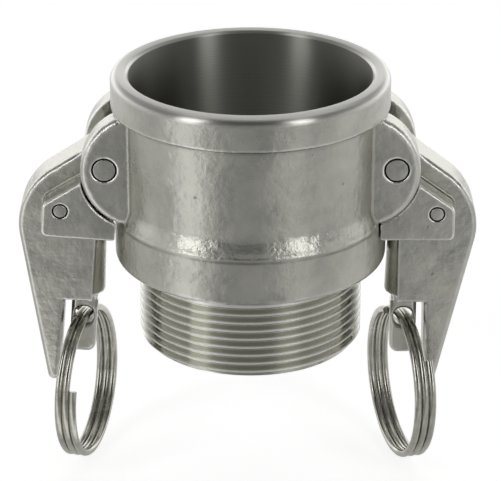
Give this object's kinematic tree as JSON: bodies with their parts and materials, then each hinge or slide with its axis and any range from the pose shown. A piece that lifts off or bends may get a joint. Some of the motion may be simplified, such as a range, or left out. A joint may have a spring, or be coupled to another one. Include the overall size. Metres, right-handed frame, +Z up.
{
  "type": "cam and groove coupler",
  "caption": "Cam and groove coupler with male pipe thread, gasket and two self-locking cam arms, each with a spring latch and a hanging pull ring.",
  "frame": {"origin": "centre of the flat shoulder where the male thread starts", "axes": "+Z up out of the socket's mouth, +X towards the right-hand cam arm, +Y to the back"},
  "size_m": [0.1213, 0.0732, 0.111],
  "materials": {
    "cast_stainless": "blasted casting",
    "turned_stainless": "turned",
    "spring_wire": "drawn wire",
    "seal_rubber": "matt black"
  },
  "bodies": {
    "coupler": {"coupler_body": "cast_stainless", "gasket": "seal_rubber", "right_arm_pivot_pin": "turned_stainless", "left_arm_pivot_pin": "turned_stainless"},
    "right_arm": {"right_cam_arm": "cast_stainless", "right_latch_pin": "turned_stainless", "right_latch_spring": "spring_wire"},
    "right_lock": {"right_latch": "cast_stainless"},
    "right_ring": {"right_pull_ring": "spring_wire"},
    "left_arm": {"left_cam_arm": "cast_stainless", "left_latch_pin": "turned_stainless", "left_latch_spring": "spring_wire"},
    "left_lock": {"left_latch": "cast_stainless"},
    "left_ring": {"left_pull_ring": "spring_wire"}
  },
  "joints": [
    {"name": "right_arm_swing", "type": "hinge", "parent": "coupler", "child": "right_arm", "pos_m": [0.0379, 0, 0.02885], "axis": [0, -1, 0], "range_deg": [0, 70]},
    {"name": "right_latch_release", "type": "hinge", "parent": "right_arm", "child": "right_lock", "pos_m": [0.04878, 0, 0.016], "axis": [0, -1, 0], "range_deg": [-2.5, 1.8], "stiffness_Nm_per_rad": 0.4, "springref_deg": -5.73, "deforming": ["right_latch_spring"]},
    {"name": "right_ring_swing", "type": "hinge", "parent": "right_lock", "child": "right_ring", "pos_m": [0.04125, 0, -0.01885], "axis": [0.2521, -0.9677, 0], "range_deg": [-40, 100]},
    {"name": "left_arm_swing", "type": "hinge", "parent": "coupler", "child": "left_arm", "pos_m": [-0.0379, 0, 0.02885], "axis": [0, 1, 0], "range_deg": [-4.5, 65.5]},
    {"name": "left_latch_release", "type": "hinge", "parent": "left_arm", "child": "left_lock", "pos_m": [-0.04976, 0, 0.01689], "axis": [0, 1, 0], "range_deg": [0, 1.8], "stiffness_Nm_per_rad": 0.4, "springref_deg": -5.73, "deforming": ["left_latch_spring"]},
    {"name": "left_ring_swing", "type": "hinge", "parent": "left_lock", "child": "left_ring", "pos_m": [-0.04496, 0, -0.01844], "axis": [0.2521, 0.9677, 0], "range_deg": [-40, 100]}
  ]
}
